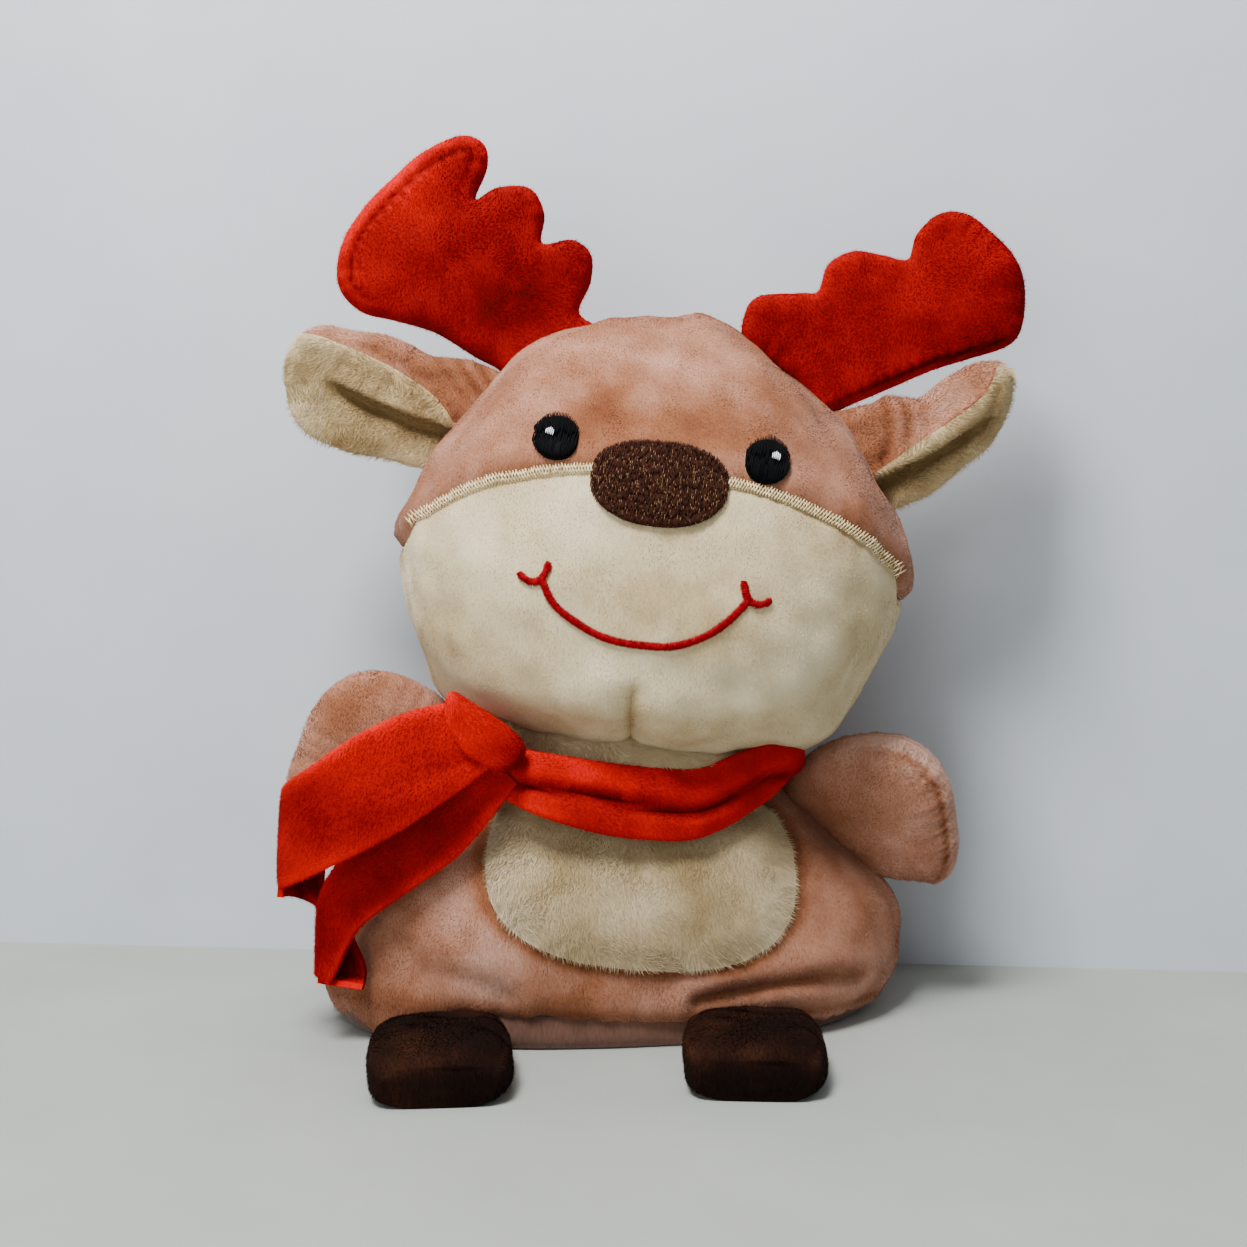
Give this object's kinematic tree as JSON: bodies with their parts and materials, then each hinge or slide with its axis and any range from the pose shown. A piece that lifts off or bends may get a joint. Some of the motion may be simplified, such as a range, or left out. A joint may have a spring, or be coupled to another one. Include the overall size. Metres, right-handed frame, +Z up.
{
  "type": "plush deer",
  "caption": "Sitting plush deer with felt-soft antlers, folded ears, stub arms and feet, a weighted flat base and a scarf.",
  "frame": {"origin": "middle of the flat base it sits on", "axes": "+Z up, -Y the way the deer faces, +X towards the deer's own left"},
  "size_m": [0.2055, 0.1285, 0.2461],
  "materials": {
    "tan_plush": "short-pile velboa plush, brushed",
    "cream_plush": "short-pile velboa plush, brushed",
    "brown_plush": "short-pile velboa plush, brushed",
    "red_plush": "short-pile velboa plush, brushed",
    "base_cloth": "short-pile cloth",
    "gold_thread": "satin-stitched metallic thread",
    "brown_thread": "satin-stitched embroidery thread",
    "red_thread": "satin-stitched embroidery thread",
    "black_thread": "satin-stitched embroidery thread",
    "white_thread": "satin-stitched embroidery thread",
    "fibre_filling": "loose polyester fibre",
    "pellet_cloth": "plain woven inner bag"
  },
  "bodies": {
    "torso": {"torso_stuffing": "fibre_filling", "torso_front_panel": "tan_plush", "torso_back_panel_left": "tan_plush", "torso_back_panel_right": "tan_plush", "belly_patch": "cream_plush", "base_gusset": "base_cloth", "pellet_bag": "pellet_cloth", "scarf_band": "red_plush", "scarf_wrap": "red_plush"},
    "neck": {"neck_stuffing": "fibre_filling"},
    "head": {"head_stuffing": "fibre_filling", "muzzle_panel": "cream_plush", "face_panel": "tan_plush", "head_back_left": "tan_plush", "head_back_right": "tan_plush", "nose": "brown_thread", "smile": "red_thread", "eye_left": "black_thread", "eye_glint_left": "white_thread", "muzzle_trim_left": "gold_thread", "eye_right": "black_thread", "eye_glint_right": "white_thread", "muzzle_trim_right": "gold_thread"},
    "arm_left": {"arm_front_panel_left": "tan_plush", "arm_back_panel_left": "tan_plush", "arm_stuffing_left": "fibre_filling"},
    "foot_left": {"foot_cover_left": "brown_plush", "foot_stuffing_left": "fibre_filling"},
    "antler_left": {"antler_front_left": "red_plush", "antler_back_left": "red_plush", "antler_padding_left": "fibre_filling"},
    "ear_left": {"ear_outer_left": "tan_plush", "ear_lining_left": "cream_plush"},
    "arm_right": {"arm_front_panel_right": "tan_plush", "arm_back_panel_right": "tan_plush", "arm_stuffing_right": "fibre_filling"},
    "foot_right": {"foot_cover_right": "brown_plush", "foot_stuffing_right": "fibre_filling"},
    "antler_right": {"antler_front_right": "red_plush", "antler_back_right": "red_plush", "antler_padding_right": "fibre_filling"},
    "ear_right": {"ear_outer_right": "tan_plush", "ear_lining_right": "cream_plush"},
    "scarf_tail_upper": {"scarf_tail_upper": "red_plush"},
    "scarf_tail_lower": {"scarf_tail_lower": "red_plush"}
  },
  "joints": [
    {"name": "head_turn", "type": "hinge", "parent": "torso", "child": "neck", "pos_m": [0.00784, -0.004, 0.07459], "axis": [0.1045, 0, 0.9945], "range_deg": [-10, 7], "stiffness_Nm_per_rad": 1.2},
    {"name": "head_nod", "type": "hinge", "parent": "neck", "child": "head", "pos_m": [0.00784, -0.004, 0.07459], "axis": [0.9848, -0.1392, -0.1035], "range_deg": [-3, 1.5], "stiffness_Nm_per_rad": 1.6},
    {"name": "arm_swing_left", "type": "hinge", "parent": "torso", "child": "arm_left", "pos_m": [0.05178, -0.0045, 0.06571], "axis": [0.7009, 0, -0.7132], "range_deg": [-35, 0], "stiffness_Nm_per_rad": 0.03},
    {"name": "arm_swing_right", "type": "hinge", "parent": "torso", "child": "arm_right", "pos_m": [-0.03699, -0.0045, 0.07504], "axis": [0.8339, 0, 0.5519], "range_deg": [-20, 20], "stiffness_Nm_per_rad": 0.03},
    {"name": "foot_lift_left", "type": "hinge", "parent": "torso", "child": "foot_left", "pos_m": [0.0355, -0.0435, 0.01102], "axis": [-0.9877, 0.1564, 0], "range_deg": [0, 60]},
    {"name": "foot_lift_right", "type": "hinge", "parent": "torso", "child": "foot_right", "pos_m": [-0.047, -0.03942, 0.01102], "axis": [-0.9998, 0.0174, 0], "range_deg": [0, 60]},
    {"name": "antler_flap_left", "type": "hinge", "parent": "head", "child": "antler_left", "pos_m": [0.05221, -0.00861, 0.18259], "axis": [0.7872, -0.1189, -0.6051], "range_deg": [-20, 14], "stiffness_Nm_per_rad": 0.03},
    {"name": "antler_flap_right", "type": "hinge", "parent": "head", "child": "antler_right", "pos_m": [-0.01326, 0.00063, 0.18911], "axis": [0.8625, -0.1133, 0.4932], "range_deg": [-20, 14], "stiffness_Nm_per_rad": 0.03},
    {"name": "ear_flap_left", "type": "hinge", "parent": "head", "child": "ear_left", "pos_m": [0.07328, -0.01193, 0.1572], "axis": [-0.4937, 0.0817, 0.8658], "range_deg": [-8, 8], "stiffness_Nm_per_rad": 0.02},
    {"name": "ear_flap_right", "type": "hinge", "parent": "head", "child": "ear_right", "pos_m": [-0.04015, 0.00409, 0.16842], "axis": [-0.5839, 0.0697, -0.8088], "range_deg": [-8, 8], "stiffness_Nm_per_rad": 0.02},
    {"name": "scarf_tail_upper_lift", "type": "hinge", "parent": "torso", "child": "scarf_tail_upper", "pos_m": [-0.0411, -0.046, 0.08727], "axis": [-0.4394, 0, 0.8983], "range_deg": [0, 24], "stiffness_Nm_per_rad": 0.004},
    {"name": "scarf_tail_lower_lift", "type": "hinge", "parent": "torso", "child": "scarf_tail_lower", "pos_m": [-0.03578, -0.0405, 0.06329], "axis": [-0.6293, 0, 0.7771], "range_deg": [0, 16], "stiffness_Nm_per_rad": 0.004}
  ]
}
